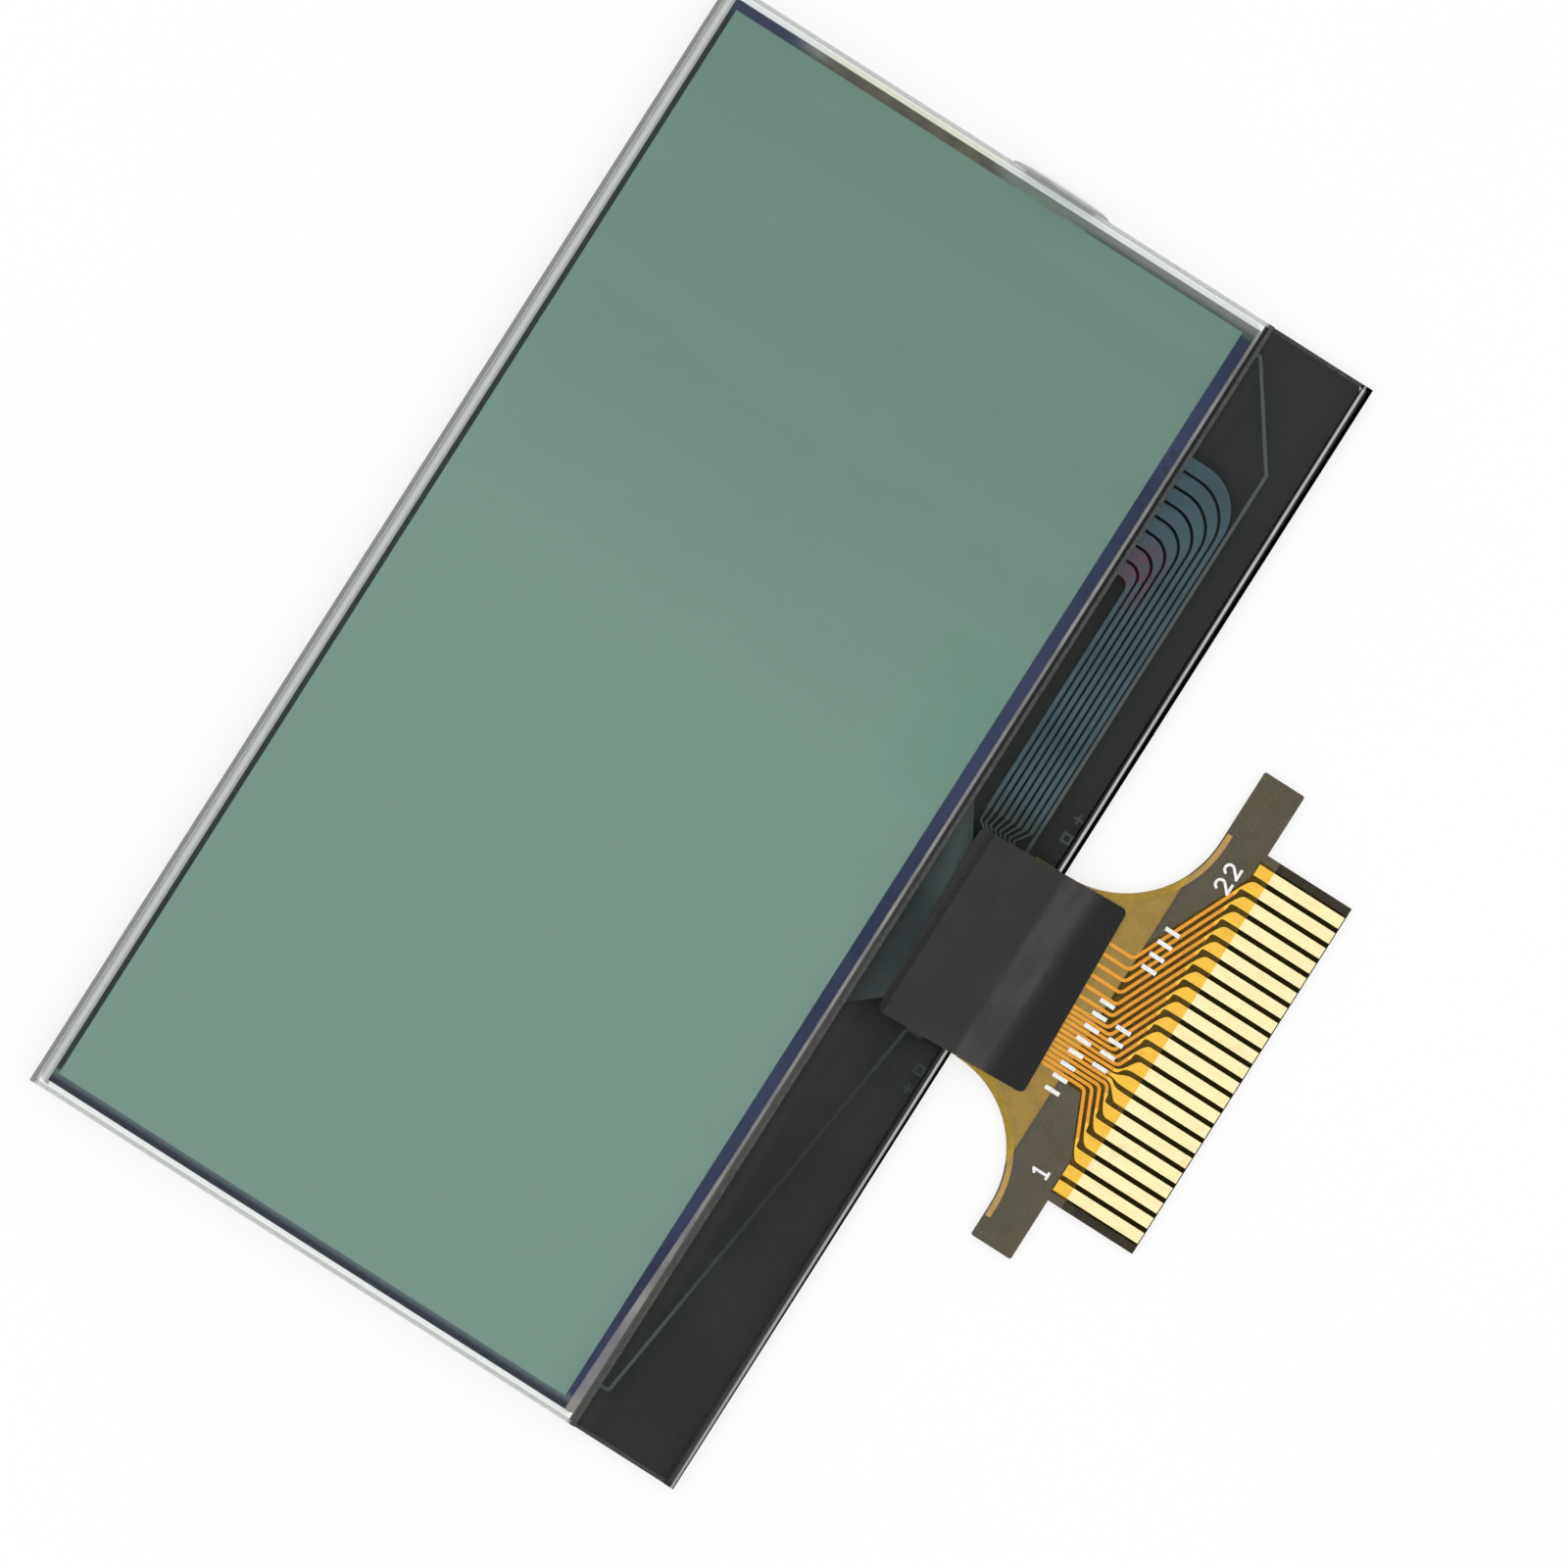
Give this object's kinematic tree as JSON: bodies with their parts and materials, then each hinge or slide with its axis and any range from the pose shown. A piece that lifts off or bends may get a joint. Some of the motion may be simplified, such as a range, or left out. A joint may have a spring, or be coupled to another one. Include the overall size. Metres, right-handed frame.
{
  "type": "lcd display",
  "caption": "Flat reflective graphic display: bonded glass plates with polarisers, a contact ledge with a driver chip under black tape, and a flat printed tail with gold contact fingers.",
  "frame": {"origin": "middle of the rear glass, on the back of the rear polariser, which is the face that the display rests on", "axes": "+X along the glass towards the last contact's end, +Z out of the viewing face, the tail leaves towards -Y"},
  "size_m": [0.0589, 0.046, 0.0018],
  "materials": {
    "front_polariser": "satin grey-green film",
    "clear_glass": "clear, ground edges",
    "rear_polariser": "silver-grey reflector film",
    "liquid_crystal": "fluid layer",
    "transfer_paste": "silver filled paste",
    "seal_glue": "clear grey epoxy",
    "clear_conductor": "thin clear oxide, faint blue-grey",
    "silicon": "ground silicon",
    "gold": "gold plate",
    "bond_film": "glue film",
    "amber_film": "amber polyimide",
    "copper": "etched copper",
    "stiffener": "dark laminate",
    "black_tape": "matt black tape",
    "white_ink": "screen printed ink"
  },
  "bodies": {
    "root": {"front_polariser": "front_polariser", "front_glass": "clear_glass", "rear_glass": "clear_glass", "rear_polariser": "rear_polariser", "liquid_crystal": "liquid_crystal", "transfer_dots": "transfer_paste", "end_seal_plug": "seal_glue", "perimeter_seal": "seal_glue", "common_tracks": "clear_conductor", "guard_tracks": "clear_conductor", "segment_tracks": "clear_conductor", "input_tracks": "clear_conductor", "alignment_marks": "clear_conductor", "driver_chip": "silicon", "chip_bumps": "gold", "chip_bond_film": "bond_film", "tail_bond_film": "bond_film", "tail_base_film": "amber_film", "tail_cover_film": "amber_film", "tail_tracks": "copper", "tear_guards": "copper", "contact_fingers": "gold", "tail_stiffener": "stiffener", "stiffener_glue": "bond_film", "backing_tape": "black_tape", "shield_tape": "black_tape", "pin_print": "white_ink"}
  },
  "joints": []
}
